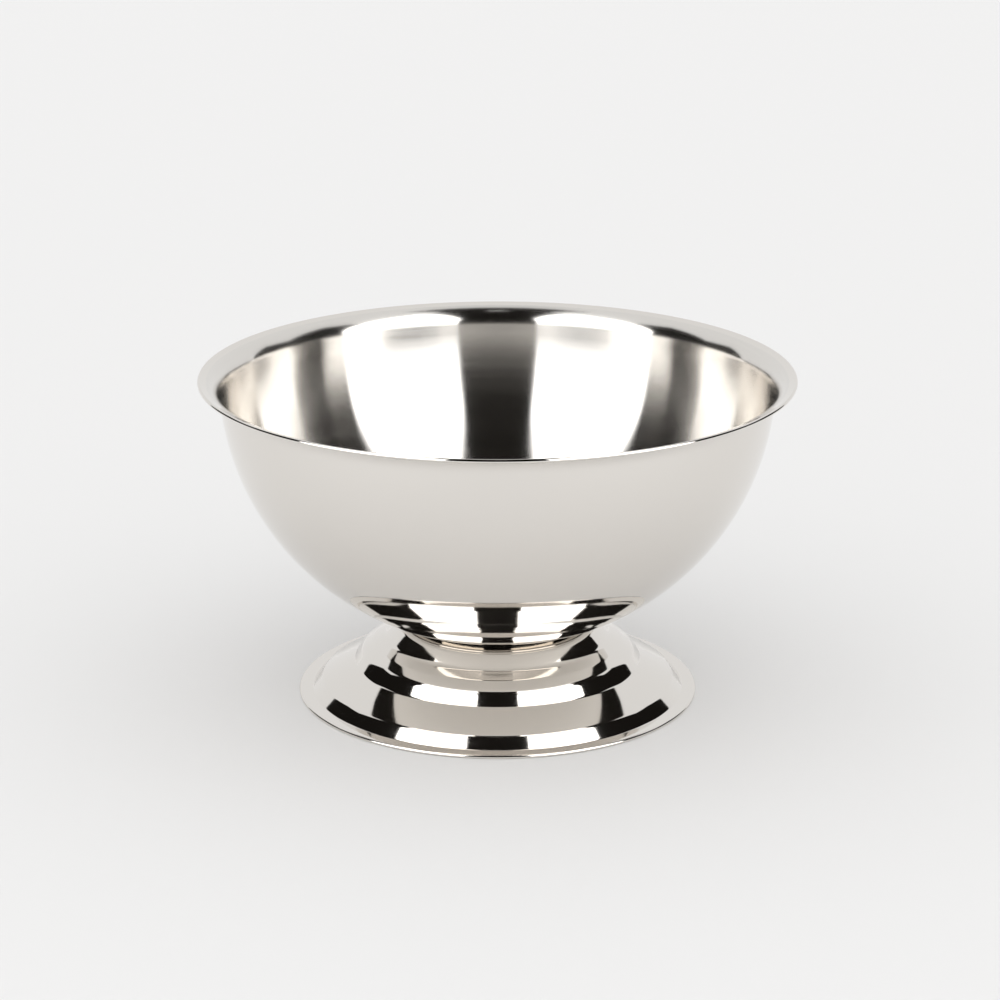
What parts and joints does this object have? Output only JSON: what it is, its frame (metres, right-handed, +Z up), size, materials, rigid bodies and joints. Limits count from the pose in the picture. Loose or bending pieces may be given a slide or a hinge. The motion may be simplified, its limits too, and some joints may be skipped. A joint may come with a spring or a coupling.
{
  "type": "punch bowl",
  "caption": "Footed punch bowl: a deep round-bottomed steel bowl with a flared flat rim on a low stepped pedestal foot.",
  "frame": {"origin": "centre of the ring that the foot stands on, at the level of the table", "axes": "+Z up along the axis of turning, towards the mouth of the bowl; +Y away from the viewer, +X to the viewer's right"},
  "size_m": [0.3849, 0.385, 0.214],
  "materials": {
    "bowl_steel": "stainless steel, mirror polished outside, satin spun inside and on the flange",
    "polished_steel": "stainless steel, mirror polished",
    "weld_steel": "resistance-welded steel, dull and slightly heat-tinted"
  },
  "bodies": {
    "root": {"bowl": "bowl_steel", "foot": "polished_steel", "spot_welds": "weld_steel"}
  },
  "joints": []
}
